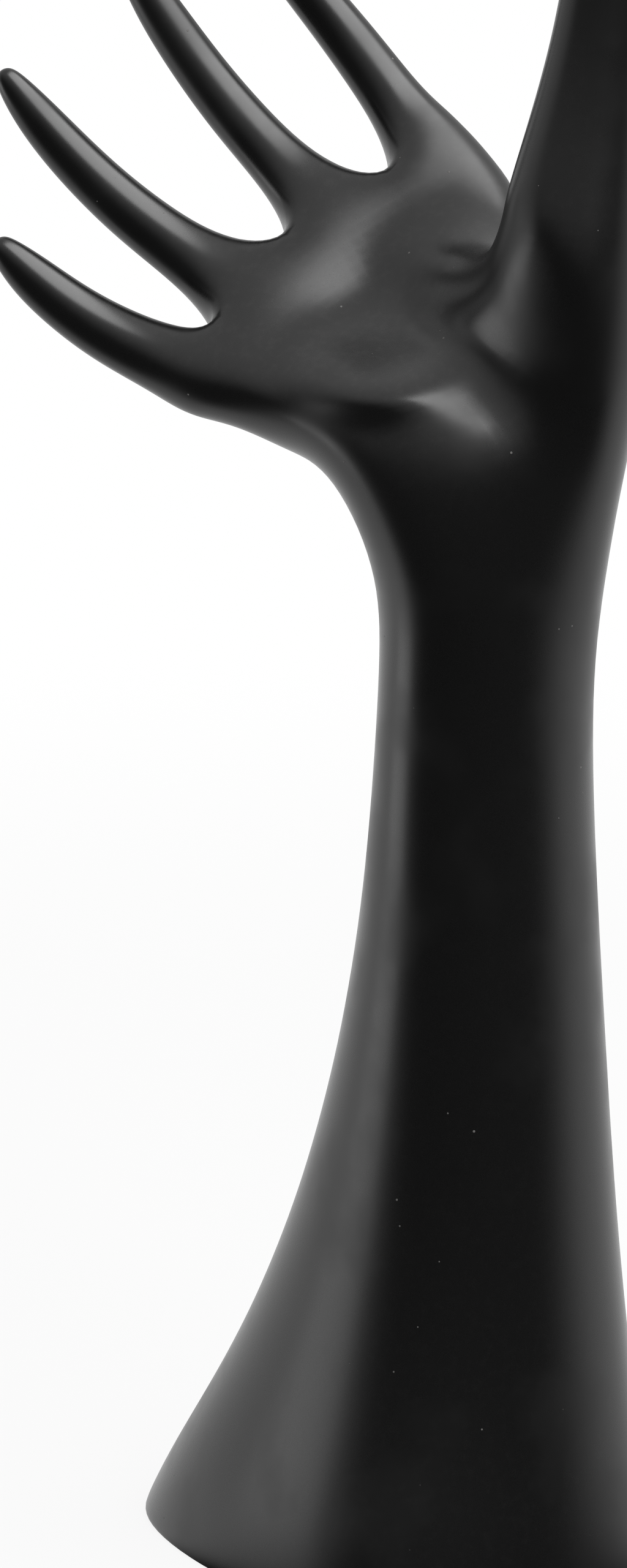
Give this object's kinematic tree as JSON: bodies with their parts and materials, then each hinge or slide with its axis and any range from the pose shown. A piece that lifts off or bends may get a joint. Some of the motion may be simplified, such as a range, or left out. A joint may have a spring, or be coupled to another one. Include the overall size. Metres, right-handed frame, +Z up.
{
  "type": "hand jewelry stand",
  "caption": "Upright moulded right hand with fanned fingers on a flared forearm, for hanging rings and bracelets.",
  "frame": {"origin": "middle of the foot's flat underside", "axes": "+Z up the forearm, -Y the inner side of the forearm, +X the thumb side; the picture looks from -Y, turned 35 degrees towards -X"},
  "size_m": [0.1237, 0.145, 0.3895],
  "materials": {
    "body": "satin gloss black"
  },
  "bodies": {
    "root": {"hand_form": "body"}
  },
  "joints": []
}
